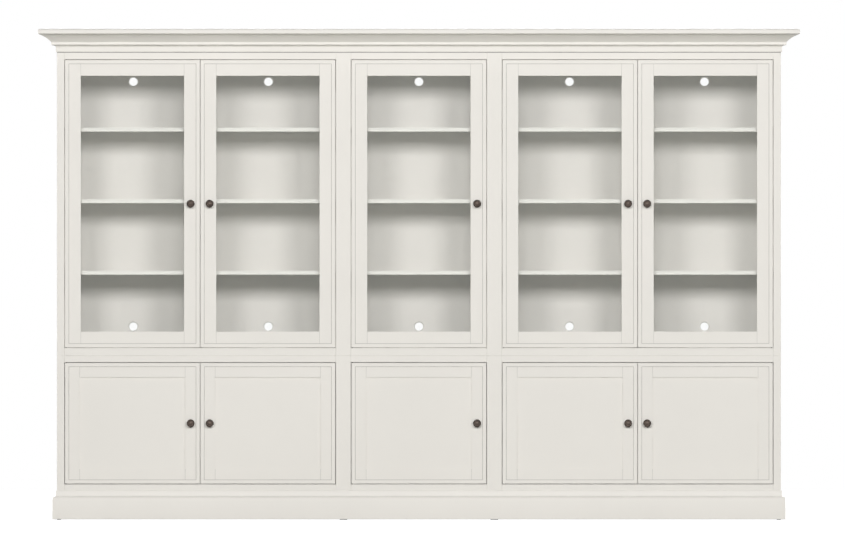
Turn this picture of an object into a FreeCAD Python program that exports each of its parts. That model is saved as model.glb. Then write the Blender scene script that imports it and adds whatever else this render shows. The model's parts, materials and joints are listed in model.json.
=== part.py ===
import FreeCAD, Part
import math
import os
import Sketcher

# A display unit of three modules side by side: a double, a single and a double. Each module is a base
# cabinet with panel doors and a hutch with glass doors above it. X runs along the front, the front faces
# -Y and +Z is up. The origin is on the floor, at the middle of the overall width and depth.

doc = FreeCAD.newDocument("display_unit")

# Driving dimensions, in millimetres
SIZES = (
    ("DoorWidth", 628, "every door, glass or panel"),
    ("DoorGap", 2.5, "gap all round a closed door"),
    ("DoorThickness", 22, "door frame, front to back"),
    ("FrameThickness", 22, "face frame, front to back"),
    ("StileWidth", 35, "upright of a face frame"),
    ("BoardThickness", 18, "sides, dividers, tops, bottoms and shelves"),
    ("BackThickness", 9, "back panels"),
    ("BodyDepth", 400, "face frame front to the back"),
    ("SkidHeight", 5, "skids under the sides"),
    ("SkidLength", 50, "skids, front to back"),
    ("SkidInset", 20, "skids from the front and back of a side"),
    ("BaseHeight", 764, "floor to the top of the base"),
    ("BaseFloor", 165.5, "floor to the top of the base bottom rail"),
    ("BaseBottomRail", 75, "base bottom rail, partly behind the plinth"),
    ("BaseTopRail", 31, "base top rail"),
    ("BaseShelfRise", 270, "base bottom panel to the underside of the base shelf"),
    ("HutchHeight", 1414, "base top to the hutch top"),
    ("HutchBottomRail", 36, "hutch bottom rail"),
    ("FriezeRail", 35, "hutch top rail"),
    ("FirstShelfRise", 341, "hutch bottom panel to the underside of the first shelf"),
    ("ShelfPitch", 333.25, "one shelf to the next"),
    ("ShelfSetback", 15, "shelf front behind the face frame"),
    ("ShelfClearance", 1, "shelf ends and back"),
    ("SupportReach", 9, "shelf support, out from the side"),
    ("SupportWidth", 14, "shelf support, front to back"),
    ("SupportHeight", 8, "shelf support, under the shelf"),
    ("SupportInset", 45, "support centres from the shelf's front and back"),
    ("LipWidth", 18, "raised band round the edge of a door"),
    ("LipRise", 3, "raised band above the door's frame"),
    ("GlassStile", 73.5, "stiles and rails of a glass door"),
    ("PanelStile", 68.5, "stiles and rails of a panel door"),
    ("GlassFront", 10, "front of the door to the pane"),
    ("GlassThickness", 4, "pane"),
    ("Rebate", 8, "rebate round the pane"),
    ("PanelFront", 9, "front of the door to the panel"),
    ("PanelThickness", 6, "panel"),
    ("PanelTongue", 9, "panel edge held in the frame's groove"),
    ("KnobInset", 43, "knob centre from the door's free edge"),
    ("KnobRadius", 17.5, "widest part of the knob"),
    ("KnobReach", 26, "knob above the door's frame"),
    ("KnobStemRadius", 5.5, "stem of the knob"),
    ("KnobNeck", 18, "stem above the door's frame"),
    ("KnobFace", 13, "radius of the flat face of the knob"),
    ("PivotInset", 5, "hinge axis from the door's edge and front"),
    ("PinRadius", 2, "hinge pin"),
    ("PinDepth", 1.7, "end of the pin below the door leaf's face"),
    ("PinPlay", 0.1, "gap round the hinge pin"),
    ("LeafLength", 60, "hinge leaf"),
    ("LeafWidth", 8, "hinge leaf"),
    ("LeafThickness", 2, "hinge leaf"),
    ("CatchInset", 45, "catch centre from the door's free edge"),
    ("CatchWidth", 20, "magnetic catch"),
    ("CatchDepth", 14, "magnetic catch"),
    ("CatchDrop", 45, "magnetic catch below the top panel"),
    ("StrikeWidth", 16, "strike plate"),
    ("StrikeHeight", 20, "strike plate"),
    ("StrikeThickness", 1, "strike plate"),
    ("StrikeDrop", 2, "strike plate below the top of the door"),
    ("StrikeGap", 0.3, "strike plate to catch, door closed"),
    ("HoleRadius", 19, "cable hole"),
    ("UpperHoleDrop", 136, "hutch top down to the upper cable hole"),
    ("LowerHoleRise", 99, "hutch bottom panel up to the lower cable hole"),
    ("JoiningLength", 100, "joining plate, across two modules"),
    ("JoiningWidth", 30, "joining plate"),
    ("JoiningThickness", 2, "joining plate"),
    ("JoiningInset", 90, "joining plates from the front and back of the hutch"),
    ("BracketWidth", 30, "anti-tip bracket"),
    ("BracketLeg", 40, "anti-tip bracket, each leg"),
    ("BracketMetal", 2, "anti-tip bracket metal"),
    ("BracketHoleRise", 26, "wall hole above the hutch top"),
    ("BracketHoleRadius", 3, "wall hole"),
    ("CrownBacking", 50, "height of the boards behind the crown"),
    ("CrownProjection", 88, "crown beyond the face frame and sides"),
    ("CrownHeight", 106.5, "crown above the hutch top"),
    ("CrownBand", 5, "flat band at the foot of the crown, projection"),
    ("CrownBandHeight", 19, "flat band at the foot of the crown"),
    ("CrownBead", 14, "small cove above the band, projection"),
    ("CrownBeadHeight", 30, "top of the small cove"),
    ("CrownFillet", 26, "fillet under the slope, projection"),
    ("CrownFilletFoot", 33, "foot of the fillet"),
    ("CrownFilletTop", 46, "top of the fillet"),
    ("CrownCoveRadius", 150, "hollow of the slope"),
    ("CrownFascia", 22, "upright face at the top of the crown"),
    ("CrownNose", 8, "rounding of the top edge"),
    ("CrownWeb", 27, "thickness of the crown behind the slope"),
    ("PlinthClearance", 3, "plinth above the floor"),
    ("PlinthTop", 136, "floor to the top of the plinth moulding"),
    ("PlinthProjection", 21, "plinth beyond the face frame and sides"),
    ("PlinthBoard", 97, "flat face of the plinth"),
    ("PlinthShoulder", 7, "rounded shoulder above the flat face"),
    ("PlinthCap", 5, "cap above the shoulder, projection"),
    ("PlinthCapFoot", 16, "foot of the cap's hollow above the flat face"),
)

sheet = doc.addObject("Spreadsheet::Sheet", "Sizes")
for row, (alias, number, use) in enumerate(SIZES, start=1):
    sheet.set("A%d" % row, alias)
    sheet.set("B%d" % row, str(number))
    sheet.set("C%d" % row, use)
    sheet.setAlias("B%d" % row, alias)
doc.recompute()


class Length:
    """A length that knows both its expression and its present value, so sums of sizes stay bound."""

    def __init__(self, text, value):
        self.text = text
        self.value = value

    @staticmethod
    def of(other):
        return other if isinstance(other, Length) else Length(repr(other), other)

    def joined(self, sign, other, value):
        return Length("(%s %s %s)" % (self.text, sign, Length.of(other).text), value)

    def __add__(self, other):
        return self.joined("+", other, self.value + Length.of(other).value)

    def __sub__(self, other):
        return self.joined("-", other, self.value - Length.of(other).value)

    def __mul__(self, other):
        return self.joined("*", other, self.value * Length.of(other).value)

    def __truediv__(self, other):
        return self.joined("/", other, self.value / Length.of(other).value)

    def __rsub__(self, other):
        return Length.of(other) - self

    def __neg__(self):
        return 0 - self

    __radd__ = __add__
    __rmul__ = __mul__


class Dimensions:
    """The sheet's named cells as attributes."""

    def __init__(self, rows):
        for alias, number, _ in rows:
            setattr(self, alias, Length("Sizes." + alias, float(number)))


d = Dimensions(SIZES)
ZERO = Length("0", 0.0)

# Sizes that follow from the driving ones
double_width = 2 * d.StileWidth + 3 * d.DoorGap + 2 * d.DoorWidth
single_width = 2 * d.StileWidth + 2 * d.DoorGap + d.DoorWidth
body_width = 2 * double_width + single_width
front = (d.CrownProjection - d.BodyDepth) / 2
back = (d.CrownProjection + d.BodyDepth) / 2
case_front = front + d.FrameThickness
back_panel_front = back - d.BackThickness
hutch_top = d.BaseHeight + d.HutchHeight
hutch_floor = d.BaseHeight + d.HutchBottomRail
upper_door_bottom = hutch_floor + d.DoorGap
upper_door_height = hutch_top - d.FriezeRail - d.DoorGap - upper_door_bottom
lower_door_bottom = d.BaseFloor + d.DoorGap
lower_door_height = d.BaseHeight - d.BaseTopRail - d.DoorGap - lower_door_bottom

X_AXIS = FreeCAD.Vector(1, 0, 0)
Y_AXIS = FreeCAD.Vector(0, 1, 0)
Z_AXIS = FreeCAD.Vector(0, 0, 1)


# Helpers that make bound objects
def bind(item, **lengths):
    for name, length in lengths.items():
        item.setExpression(name.replace("_", "."), Length.of(length).text)


def place(item, corner, turn=0, axis=Z_AXIS):
    """Put an object at a bound corner, turned by a fixed angle."""
    item.Placement = FreeCAD.Placement(FreeCAD.Vector(), FreeCAD.Rotation(axis, turn))
    for name, length in zip("xyz", corner):
        item.setExpression("Placement.Base." + name, Length.of(length).text)
    return item


def block(name, corner, size):
    item = doc.addObject("Part::Box", name)
    bind(item, Length=size[0], Width=size[1], Height=size[2])
    return place(item, corner)


def rod(name, corner, radius, length, turn=0, axis=Z_AXIS):
    item = doc.addObject("Part::Cylinder", name)
    bind(item, Radius=radius, Height=length)
    return place(item, corner, turn, axis)


def together(name, pieces):
    item = doc.addObject("Part::Compound", name)
    item.Links = pieces
    return item


def copy_of(name, source, corner, turn=0, axis=Z_AXIS):
    """The same piece again, somewhere else."""
    return place(together(name, [source]), corner, turn, axis)


def less(name, whole, tools):
    item = doc.addObject("Part::Cut", name)
    item.Base = whole
    item.Tool = tools[0] if len(tools) == 1 else together(name + "_tools", tools)
    return item


sub_parts = []


def sub_part(label, pieces):
    """A node of the finished unit: every piece in it is a separate solid."""
    item = together(label, pieces)
    item.Label = label
    sub_parts.append(item)
    return item


def new_sketch(body, plane_role, name):
    sketch = body.newObject("Sketcher::SketchObject", name)
    plane = next(item for item in body.Origin.OriginFeatures if item.Role == plane_role)
    sketch.AttachmentSupport = [(plane, "")]
    sketch.MapMode = "FlatFace"
    return sketch


def arc_between(start, end, radius):
    """An arc from start to end. A positive radius bows it to the left of that direction."""
    chord = end - start
    half = chord.Length / 2
    side = FreeCAD.Vector(-chord.y, chord.x, 0).normalize()
    drop = math.sqrt(max(radius * radius - half * half, 0.0))
    centre = (start + end) / 2 - side * math.copysign(drop, radius)
    circle = Part.Circle(centre, Z_AXIS, abs(radius))
    first = math.atan2(start.y - centre.y, start.x - centre.x)
    last = math.atan2(end.y - centre.y, end.x - centre.x)
    if radius > 0:
        first, last = last, first
    return Part.ArcOfCircle(circle, first, last if last > first else last + 2 * math.pi)


def outline(sketch, corners):
    """A closed outline through bound corners (across, up), or (across, up, radius) to bow the next side."""
    points = [FreeCAD.Vector(Length.of(c[0]).value, Length.of(c[1]).value, 0) for c in corners]
    ends = []
    for index, corner in enumerate(corners):
        start, end = points[index], points[(index + 1) % len(points)]
        if len(corner) == 2:
            line = sketch.addGeometry(Part.LineSegment(start, end), False)
            ends.append((line, 1, 2))
            continue
        bow = Length.of(corner[2])
        arc = sketch.addGeometry(arc_between(start, end, bow.value), False)
        ends.append((arc, 2, 1) if bow.value > 0 else (arc, 1, 2))
        size = sketch.addConstraint(Sketcher.Constraint("Radius", arc, abs(bow.value)))
        sketch.setExpression("Constraints[%d]" % size, "abs(%s)" % bow.text)
    for index, (shape, first, _) in enumerate(ends):
        before, _, last = ends[index - 1]
        sketch.addConstraint(Sketcher.Constraint("Coincident", before, last, shape, first))
        across, up = Length.of(corners[index][0]), Length.of(corners[index][1])
        for kind, length in (("DistanceX", across), ("DistanceY", up)):
            held = sketch.addConstraint(Sketcher.Constraint(kind, -1, 1, shape, first, length.value))
            sketch.setExpression("Constraints[%d]" % held, length.text)


def extruded(body, sketch, length, name="Pad"):
    pad = body.newObject("PartDesign::Pad", name)
    pad.Profile = sketch
    pad.SideType = "Symmetric"
    bind(pad, Length=length)
    return pad


def revolved(name, corners):
    """A turned piece: the outline (radius, height) swept round its upright axis."""
    body = doc.addObject("PartDesign::Body", name)
    sketch = new_sketch(body, "XZ_Plane", name + "_outline")
    outline(sketch, corners)
    turned = body.newObject("PartDesign::Revolution", name + "_turned")
    turned.Profile = sketch
    turned.ReferenceAxis = (sketch, ["V_Axis"])
    turned.Angle = 360
    return body


# Modules and their bays
class Module:
    """One module: where it starts, how wide it is, and the doors and bays across it."""

    def __init__(self, name, start, width, doors):
        self.name = name
        self.start = start
        self.width = width
        self.doors = doors

    def door_left(self, place_in_row):
        step = d.DoorWidth + d.DoorGap
        return self.start + d.StileWidth + d.DoorGap + place_in_row * step

    def bay_width(self):
        count = len(self.doors)
        return (self.width - (count + 1) * d.BoardThickness) / count

    def bay_left(self, place_in_row):
        step = self.bay_width() + d.BoardThickness
        return self.start + d.BoardThickness + place_in_row * step

    def inner_left(self):
        return self.start + d.BoardThickness

    def inner_width(self):
        return self.width - 2 * d.BoardThickness


MODULES = (
    Module("left", -body_width / 2, double_width, (1, 2)),
    Module("centre", -single_width / 2, single_width, (3,)),
    Module("right", single_width / 2, double_width, (4, 5)),
)

# Doors whose hinges are on the right; the others hang on the left
RIGHT_HUNG = (2, 5)


class Tier:
    """What differs between the panel-door bases and the glass-door hutches."""

    def __init__(self, name, bottom, top, floor, top_rail, bottom_rail, door_bottom, door_height, stile):
        self.name = name
        self.bottom = bottom
        self.top = top
        self.floor = floor
        self.top_rail = top_rail
        self.bottom_rail = bottom_rail
        self.door_bottom = door_bottom
        self.door_height = door_height
        self.stile = stile


BASE = Tier("base", d.SkidHeight, d.BaseHeight, d.BaseFloor, d.BaseTopRail, d.BaseBottomRail,
            lower_door_bottom, lower_door_height, d.PanelStile)
HUTCH = Tier("hutch", d.BaseHeight, hutch_top, hutch_floor, d.FriezeRail, d.HutchBottomRail,
             upper_door_bottom, upper_door_height, d.GlassStile)


# Hinges: a case plate with a round pin and a door leaf with a square socket that the pin turns in, both
# let in flush. Each is drawn for the top left corner of a door, with the hinge axis at the origin and the
# case plate's face at height 0, so the pin is below it.
def leaf_block(name, bottom):
    corner = (-d.PivotInset, -d.LeafWidth / 2, bottom)
    return block(name, corner, (d.LeafLength, d.LeafWidth, d.LeafThickness))


case_space = leaf_block("case_leaf_space", ZERO)
door_space = leaf_block("door_leaf_space", -(d.DoorGap + d.LeafThickness))
pin_length = d.DoorGap + d.PinDepth
case_leaf = doc.addObject("Part::Fuse", "case_leaf")
case_leaf.Base = leaf_block("case_leaf_plate", ZERO)
case_leaf.Tool = rod("hinge_pin", (0, 0, 0), d.PinRadius, pin_length, 180, X_AXIS)
socket_side = 2 * (d.PinRadius + d.PinPlay)
socket = block("pin_socket", (-socket_side / 2, -socket_side / 2, -d.DoorGap - 2 * d.LeafThickness),
               (socket_side, socket_side, 3 * d.LeafThickness))
door_leaf = less("door_leaf", leaf_block("door_leaf_plate", -(d.DoorGap + d.LeafThickness)), [socket])


def at_hinges(name, source, height, right_hung):
    """A hinge piece at the top and bottom hinge corners of a door that has its own corner at the origin."""
    across = d.DoorWidth - d.PivotInset if right_hung else d.PivotInset
    top = copy_of(name + "_top", source, (across, d.PivotInset, height + d.DoorGap), 180 if right_hung else 0)
    bottom = copy_of(name + "_bottom", source, (across, d.PivotInset, -d.DoorGap), 180,
                     Y_AXIS if right_hung else X_AXIS)
    return [top, bottom]


# Door frames: four members with a raised lip round the outside, mortised at the hinge side
def door_members(tier, hand, rear_space):
    name = "%s_%s_hung" % (tier.name, hand)
    width, height, depth, stile = d.DoorWidth, tier.door_height, d.DoorThickness, tier.stile
    field = block(name + "_field", (d.LipWidth, -d.LipRise, d.LipWidth),
                  (width - 2 * d.LipWidth, 2 * d.LipRise, height - 2 * d.LipWidth))
    mortises = at_hinges(name + "_mortise", door_space, height, hand == "right")
    rail_length = width - 2 * stile
    members = (
        ("left_stile", (0, 0, 0), (stile, depth, height), hand == "left"),
        ("right_stile", (width - stile, 0, 0), (stile, depth, height), hand == "right"),
        ("bottom_rail", (stile, 0, 0), (rail_length, depth, stile), False),
        ("top_rail", (stile, 0, height - stile), (rail_length, depth, stile), False),
    )
    finished = []
    for member, corner, size, hinged in members:
        plain = block("%s_%s_blank" % (name, member), corner, size)
        tools = [field, rear_space] + (mortises if hinged else [])
        finished.append(less("%s_%s" % (name, member), plain, tools))
    return finished


def opening_block(name, tier, margin, front_of, thickness):
    """A block behind the door's opening that reaches under the frame by a margin all round."""
    edge = tier.stile - margin
    return block(name, (edge, front_of, edge),
                 (d.DoorWidth - 2 * edge, thickness, tier.door_height - 2 * edge))


glass_rebate = opening_block("glass_rebate", HUTCH, d.Rebate, d.GlassFront, d.DoorThickness)
glass_pane = opening_block("glass_pane", HUTCH, d.Rebate, d.GlassFront, d.GlassThickness)
door_panel = opening_block("door_panel", BASE, d.PanelTongue, d.PanelFront, d.PanelThickness)


def glazing_strips():
    """Four square strips that hold the pane in its rebate from behind."""
    near = d.GlassStile - d.Rebate
    rear = d.GlassFront + d.GlassThickness
    depth = d.DoorThickness - rear
    tall = upper_door_height - 2 * near
    wide = d.DoorWidth - 2 * d.GlassStile
    return [
        block("strip_left", (near, rear, near), (d.Rebate, depth, tall)),
        block("strip_right", (d.DoorWidth - d.GlassStile, rear, near), (d.Rebate, depth, tall)),
        block("strip_bottom", (d.GlassStile, rear, near), (wide, depth, d.Rebate)),
        block("strip_top", (d.GlassStile, rear, near + tall - d.Rebate), (wide, depth, d.Rebate)),
    ]


# Knob: a stem and a tapered head with a flat face, turned about its own axis
knob = revolved("knob_blank", (
    (0, 0),
    (d.KnobStemRadius, 0),
    (d.KnobStemRadius, d.KnobNeck),
    (d.KnobRadius, d.KnobNeck),
    (d.KnobFace, d.KnobReach),
    (0, d.KnobReach),
))


def hand_of(number):
    return "right" if number in RIGHT_HUNG else "left"


def free_edge(number, inset):
    """How far along a door a thing lies that is placed from its free edge."""
    return inset if number in RIGHT_HUNG else d.DoorWidth - inset


door_frames = {("hutch", hand): door_members(HUTCH, hand, glass_rebate) for hand in ("left", "right")}
door_frames.update({("base", hand): door_members(BASE, hand, door_panel) for hand in ("left", "right")})
strips = together("glazing_strips", glazing_strips())

strike = block("strike_plate", (-d.StrikeWidth / 2, d.DoorThickness, -d.StrikeHeight - d.StrikeDrop),
               (d.StrikeWidth, d.StrikeThickness, d.StrikeHeight))
catch_blank = block("catch_blank", (-d.CatchWidth / 2, 0, -d.CatchDrop),
                    (d.CatchWidth, d.CatchDepth, d.CatchDrop))

pivot_plates = []
catches = []
rail_mortises = {}

for tier, prefix, fill, fill_name in (
    (HUTCH, "upper", glass_pane, "glass"),
    (BASE, "lower", door_panel, "panel"),
):
    for module in MODULES:
        for place_in_row, number in enumerate(module.doors):
            hand = hand_of(number)
            door = "%s_door_%d" % (prefix, number)
            corner = (module.door_left(place_in_row), front, tier.door_bottom)
            key = (tier.name, module.name)
            right_hung = hand == "right"
            frame = together(door + "_frame_members", door_frames[(tier.name, hand)])
            sub_part(door + "_frame", [copy_of(door + "_frame_placed", frame, corner)])
            sub_part("%s_%s" % (door, fill_name), [copy_of(door + "_fill_placed", fill, corner)])
            if tier is HUTCH:
                sub_part(door + "_glazing_strips", [copy_of(door + "_strips_placed", strips, corner)])
            knob_here = copy_of(door + "_knob_turned", knob,
                                (free_edge(number, d.KnobInset), d.LipRise, tier.door_height / 2), 90, X_AXIS)
            leaves = at_hinges(door + "_leaf", door_leaf, tier.door_height, right_hung)
            strike_here = copy_of(door + "_strike", strike,
                                  (free_edge(number, d.CatchInset), 0, tier.door_height))
            metal = together(door + "_metal", leaves + [strike_here, knob_here])
            sub_part(door + "_metalwork", [copy_of(door + "_metal_placed", metal, corner)])
            for group, piece, source in ((pivot_plates, "plates", case_leaf),
                                         (rail_mortises.setdefault(key, []), "spaces", case_space)):
                pair = together("%s_%s" % (door, piece),
                                at_hinges("%s_%s" % (door, piece), source, tier.door_height, right_hung))
                group.append(copy_of("%s_%s_placed" % (door, piece), pair, corner))
            catch_corner = (corner[0] + free_edge(number, d.CatchInset),
                            front + d.DoorThickness + d.StrikeThickness + d.StrikeGap,
                            tier.top - d.BoardThickness)
            catches.append(copy_of(door + "_catch", catch_blank, catch_corner))

sub_part("pivot_plates", pivot_plates)
sub_part("magnetic_catches", catches)


# Face frames: two stiles the full height of a case, with the rails between them
def face_frame(tier, module):
    name = "%s_%s_face" % (tier.name, module.name)
    height = tier.top - tier.bottom
    right = module.start + module.width - d.StileWidth
    inner = module.start + d.StileWidth
    run = module.width - 2 * d.StileWidth
    stiles = [block("%s_%s_stile" % (name, side), (left, front, tier.bottom),
                    (d.StileWidth, d.FrameThickness, height))
              for side, left in (("left", module.start), ("right", right))]
    rails = []
    for rail, bottom, width in (
        ("top_rail", tier.top - tier.top_rail, tier.top_rail),
        ("bottom_rail", tier.floor - tier.bottom_rail, tier.bottom_rail),
    ):
        plain = block("%s_%s_blank" % (name, rail), (inner, front, bottom), (run, d.FrameThickness, width))
        rails.append(less("%s_%s" % (name, rail), plain, rail_mortises[(tier.name, module.name)]))
    return stiles + rails


case_depth = d.BodyDepth - d.FrameThickness


def side_panels(tier):
    """Two side panels to a module, the full height of the case."""
    size = (d.BoardThickness, case_depth, tier.top - tier.bottom)
    pieces = []
    for module in MODULES:
        right = module.start + module.width - d.BoardThickness
        for side, left in (("left", module.start), ("right", right)):
            corner = (left, case_front, tier.bottom)
            pieces.append(block("%s_%s_%s_side" % (tier.name, module.name, side), corner, size))
    return pieces


def dividers(tier):
    """An upright board in the middle of each double module, from its bottom panel to its top panel."""
    size = (d.BoardThickness, case_depth - d.BackThickness, tier.top - d.BoardThickness - tier.floor)
    return [block("%s_%s_divider" % (tier.name, module.name),
                  (module.bay_left(1) - d.BoardThickness, case_front, tier.floor), size)
            for module in MODULES if len(module.doors) == 2]


def decks(tier, deck, bottom):
    """The top or the bottom panel of every module."""
    return [block("%s_%s_%s_panel" % (tier.name, module.name, deck),
                  (module.inner_left(), case_front, bottom),
                  (module.inner_width(), case_depth - d.BackThickness, d.BoardThickness))
            for module in MODULES]


def back_panels(tier, with_holes):
    """One panel behind each bay; two of them meet behind a divider."""
    bottom = d.BaseHeight if with_holes else tier.floor - d.BoardThickness
    pieces = []
    for module in MODULES:
        count = len(module.doors)
        width = module.inner_width() / count
        for place_in_row, number in enumerate(module.doors):
            name = "%s_back_%d" % (tier.name, number)
            left = module.inner_left() + place_in_row * width
            plain = block(name + "_blank", (left, back_panel_front, bottom),
                          (width, d.BackThickness, tier.top - bottom))
            if not with_holes:
                pieces.append(plain)
                continue
            middle = module.door_left(place_in_row) + d.DoorWidth / 2
            holes = [copy_of("%s_%s_hole" % (name, row), cable_hole, (middle, back_panel_front, height))
                     for row, height in (("lower", tier.floor + d.LowerHoleRise),
                                         ("upper", tier.top - d.UpperHoleDrop))]
            pieces.append(less(name, plain, holes))
    return pieces


cable_hole = rod("cable_hole", (0, -d.BackThickness, 0), d.HoleRadius, 3 * d.BackThickness, -90, X_AXIS)

# Shelves: the middle one of a hutch bay is fixed between the sides and stiffens them, and every other one
# lies loose on four supports
support = block("shelf_support", (0, -d.SupportWidth / 2, -d.SupportHeight),
                (d.SupportReach, d.SupportWidth, d.SupportHeight))
shelf_front = case_front + d.ShelfSetback
shelf_depth = back_panel_front - d.ShelfClearance - shelf_front
supports = []


def shelf_board(name, module, place_in_row, underside, clearance):
    return block(name, (module.bay_left(place_in_row) + clearance, shelf_front, underside),
                 (module.bay_width() - 2 * clearance, shelf_depth, d.BoardThickness))


def loose_shelf(name, module, place_in_row, underside):
    left = module.bay_left(place_in_row)
    near, far = shelf_front + d.SupportInset, shelf_front + shelf_depth - d.SupportInset
    for end, across, turn in (("left", left, 0), ("right", left + module.bay_width(), 180)):
        for row, along in (("front", near), ("back", far)):
            supports.append(copy_of("%s_%s_%s_support" % (name, end, row), support,
                                    (across, along, underside), turn))
    return shelf_board(name, module, place_in_row, underside, d.ShelfClearance)


hutch_shelves = []
fixed_shelves = []
base_shelves = []
for module in MODULES:
    for place_in_row, number in enumerate(module.doors):
        first, middle, last = [hutch_floor + d.FirstShelfRise + level * d.ShelfPitch for level in range(3)]
        name = "hutch_shelf_%d" % number
        hutch_shelves.append(loose_shelf(name + "_low", module, place_in_row, first))
        fixed_shelves.append(shelf_board(name + "_fixed", module, place_in_row, middle, ZERO))
        hutch_shelves.append(loose_shelf(name + "_high", module, place_in_row, last))
        base_shelves.append(loose_shelf("base_shelf_%d" % number, module, place_in_row,
                                        d.BaseFloor + d.BaseShelfRise))

for tier, back_holes in ((HUTCH, True), (BASE, False)):
    name = tier.name
    sub_part(name + "_face_frames", [piece for module in MODULES for piece in face_frame(tier, module)])
    sub_part(name + "_side_panels", side_panels(tier))
    sub_part(name + "_dividers", dividers(tier))
    sub_part(name + "_top_panels", decks(tier, "top", tier.top - d.BoardThickness))
    sub_part(name + "_bottom_panels", decks(tier, "bottom", tier.floor - d.BoardThickness))
    sub_part(name + "_back_panels", back_panels(tier, back_holes))
sub_part("hutch_shelves", hutch_shelves)
sub_part("hutch_fixed_shelves", fixed_shelves)
sub_part("base_shelves", base_shelves)
sub_part("shelf_supports", supports)

# Skids under the front and back of every base side panel
skids = []
for module in MODULES:
    right = module.start + module.width - d.BoardThickness
    for side, left in (("left", module.start), ("right", right)):
        for row, near in (("front", case_front + d.SkidInset), ("back", back - d.SkidInset - d.SkidLength)):
            skids.append(block("%s_%s_%s_skid" % (module.name, side, row), (left, near, 0),
                               (d.BoardThickness, d.SkidLength, d.SkidHeight)))
sub_part("floor_skids", skids)

# Joining plates across the tops of neighbouring hutches
joining = []
for number, joint in enumerate((MODULES[1].start, MODULES[2].start), start=1):
    for row, middle in (("front", case_front + d.JoiningInset), ("back", back - d.JoiningInset)):
        joining.append(block("joining_plate_%d_%s" % (number, row),
                             (joint - d.JoiningLength / 2, middle - d.JoiningWidth / 2, hutch_top),
                             (d.JoiningLength, d.JoiningWidth, d.JoiningThickness)))
sub_part("joining_plates", joining)

# Anti-tip brackets in the middle of the double modules: one leg on the hutch top, the other at the wall
bracket_outer = block("bracket_outer", (-d.BracketWidth / 2, -d.BracketLeg, 0),
                      (d.BracketWidth, d.BracketLeg, d.BracketLeg))
bracket_inner = block("bracket_inner", (-d.BracketWidth, -d.BracketLeg - d.BracketMetal, d.BracketMetal),
                      (2 * d.BracketWidth, d.BracketLeg, d.BracketLeg))
wall_hole = rod("wall_hole", (0, -d.BracketLeg, d.BracketHoleRise), d.BracketHoleRadius, 2 * d.BracketLeg,
                -90, X_AXIS)
bracket = less("bracket_blank", bracket_outer, [bracket_inner, wall_hole])
brackets = [copy_of(module.name + "_bracket", bracket, (module.start + module.width / 2, back, hutch_top))
            for module in (MODULES[0], MODULES[2])]
sub_part("anti_tip_brackets", brackets)


# Mouldings: a profile (projection, height) run along X in its own frame, mitred where it turns a corner
def moulding(name, corners, projection, run, mitred):
    body = doc.addObject("PartDesign::Body", name)
    profile = new_sketch(body, "YZ_Plane", name + "_profile")
    outline(profile, corners)
    extruded(body, profile, run, name + "_run")
    for number, side in enumerate(mitred, start=1):
        cut = new_sketch(body, "XY_Plane", "%s_mitre_%d" % (name, number))
        outline(cut, (
            (side * (run / 2 - 2 * projection), -projection),
            (side * (run / 2 + projection), 2 * projection),
            (side * (run / 2 + projection), -projection),
        ))
        pocket = body.newObject("PartDesign::Pocket", "%s_cut_%d" % (name, number))
        pocket.Profile = cut
        pocket.SideType = "Symmetric"
        pocket.Type = "ThroughAll"
    return body


def moulding_lengths(name, corners, projection, bottom):
    """A front length and two returns that end flush with the back."""
    front_run = body_width + 2 * projection
    return_run = d.BodyDepth + projection
    return_middle = back - return_run / 2
    return [
        place(moulding(name + "_front", corners, projection, front_run, (-1, 1)), (0, front, bottom), 180),
        place(moulding(name + "_left", corners, projection, return_run, (-1,)),
              (-body_width / 2, return_middle, bottom), 90),
        place(moulding(name + "_right", corners, projection, return_run, (1,)),
              (body_width / 2, return_middle, bottom), -90),
    ]


crown_fascia_foot = d.CrownHeight - d.CrownFascia
crown_profile = (
    (0, 0),
    (d.CrownBand, 0),
    (d.CrownBand, d.CrownBandHeight, d.CrownBeadHeight - d.CrownBandHeight),
    (d.CrownBead, d.CrownBeadHeight),
    (d.CrownBead, d.CrownFilletFoot),
    (d.CrownFillet, d.CrownFilletFoot),
    (d.CrownFillet, d.CrownFilletTop, d.CrownCoveRadius),
    (d.CrownProjection, crown_fascia_foot),
    (d.CrownProjection, d.CrownHeight - d.CrownNose, d.CrownNose),
    (d.CrownProjection - d.CrownNose, d.CrownHeight),
    (d.CrownProjection - d.CrownWeb, d.CrownHeight),
    (0, d.CrownBacking),
)
sub_part("crown_moulding", moulding_lengths("crown", crown_profile, d.CrownProjection, hutch_top))

plinth_height = d.PlinthTop - d.PlinthClearance
shoulder_top = d.PlinthBoard + d.PlinthShoulder
plinth_profile = (
    (0, 0),
    (d.PlinthProjection, 0),
    (d.PlinthProjection, d.PlinthBoard, d.PlinthShoulder),
    (d.PlinthProjection - d.PlinthShoulder, shoulder_top),
    (d.PlinthCap * 2, shoulder_top, -d.PlinthCapFoot * 2),
    (d.PlinthCap, d.PlinthBoard + d.PlinthCapFoot),
    (d.PlinthCap, plinth_height - d.PlinthCap / 2),
    (d.PlinthCap / 2, plinth_height),
    (0, plinth_height),
)
sub_part("plinth_moulding", moulding_lengths("plinth", plinth_profile, d.PlinthProjection, d.PlinthClearance))

# Backing boards that the crown is fixed to
side_run = d.BodyDepth - d.BoardThickness
sub_part("crown_backing", [
    block("crown_front_board", (-body_width / 2, front, hutch_top),
          (body_width, d.BoardThickness, d.CrownBacking)),
    block("crown_left_board", (-body_width / 2, front + d.BoardThickness, hutch_top),
          (d.BoardThickness, side_run, d.CrownBacking)),
    block("crown_right_board", (body_width / 2 - d.BoardThickness, front + d.BoardThickness, hutch_top),
          (d.BoardThickness, side_run, d.CrownBacking)),
])

# Build, check and export
doc.recompute()
for item in doc.Objects:
    if "Invalid" in item.State or "Error" in item.State:
        raise RuntimeError("%s failed: %s" % (item.Name, item.State))

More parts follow.
